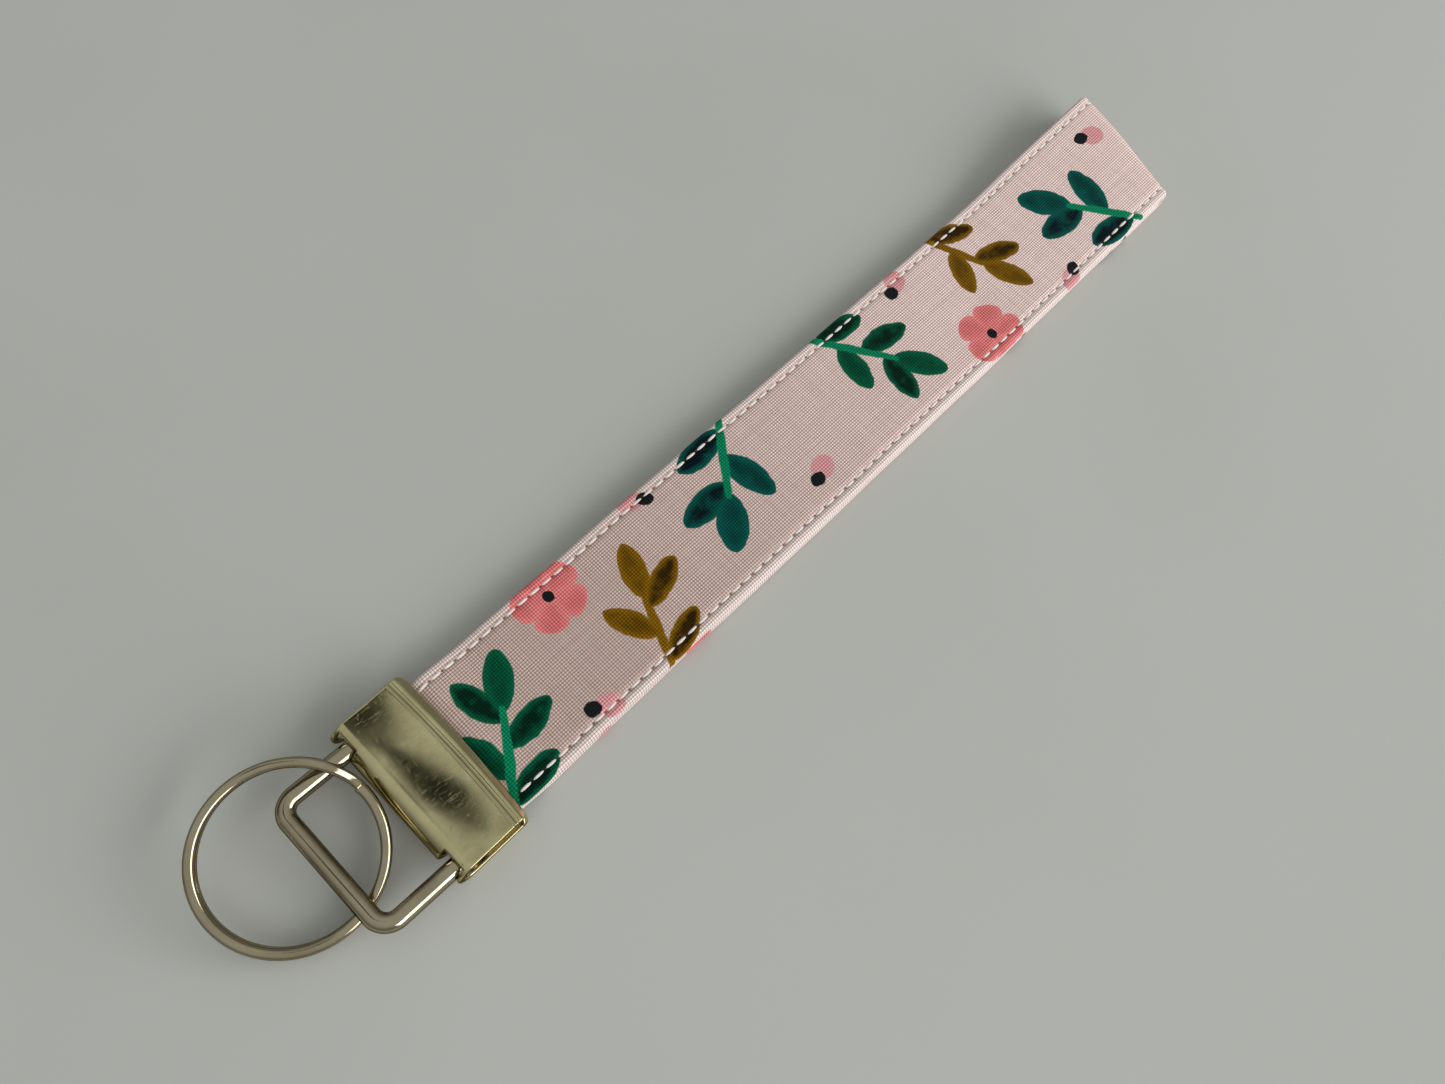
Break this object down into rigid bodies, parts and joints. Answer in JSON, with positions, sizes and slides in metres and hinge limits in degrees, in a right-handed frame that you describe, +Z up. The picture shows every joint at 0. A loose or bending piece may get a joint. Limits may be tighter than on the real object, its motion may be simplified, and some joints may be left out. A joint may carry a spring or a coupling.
{
  "type": "wristlet keychain",
  "caption": "Flat fabric wristlet strap doubled into a loop, held in a folded metal clamp with a wire bail and a split key ring.",
  "frame": {"origin": "middle of the clamp's flat underside, on the surface the keychain lies on", "axes": "+X along the strap from the clamp to the far end of the loop, +Y across the strap, +Z up from the surface"},
  "size_m": [0.1917, 0.0295, 0.0087],
  "materials": {
    "hardware_metal": "polished nickel plate, warm in tone, worn and lightly scratched",
    "printed_cotton": "plain-weave cotton, pale pink ground with a scattered botanical print",
    "webbing": "off-white cotton webbing",
    "thread": "pale pink sewing thread"
  },
  "bodies": {
    "clamp": {"clamp_shell": "hardware_metal", "cover_ends": "printed_cotton", "core_ends": "webbing"},
    "bail": {"bail": "hardware_metal"},
    "ring": {"split_ring": "hardware_metal"},
    "strap": {"cover_loop": "printed_cotton", "core_loop": "webbing", "needle_thread_left": "thread", "needle_thread_right": "thread", "bobbin_thread_left": "thread", "bobbin_thread_right": "thread"}
  },
  "joints": [
    {"name": "bail_hinge", "type": "hinge", "parent": "clamp", "child": "bail", "pos_m": [-0.00265, 0, 0.00275], "axis": [0, 1, 0], "range_deg": [-45, 10]},
    {"name": "ring_swing", "type": "hinge", "parent": "bail", "child": "ring", "pos_m": [-0.01554, 0, 0.00444], "axis": [0, -1, 0], "range_deg": [0, 135]},
    {"name": "strap_flex", "type": "hinge", "parent": "clamp", "child": "strap", "pos_m": [0.00858, 0, 0.00275], "axis": [0, -1, 0], "range_deg": [-25, 60]}
  ]
}
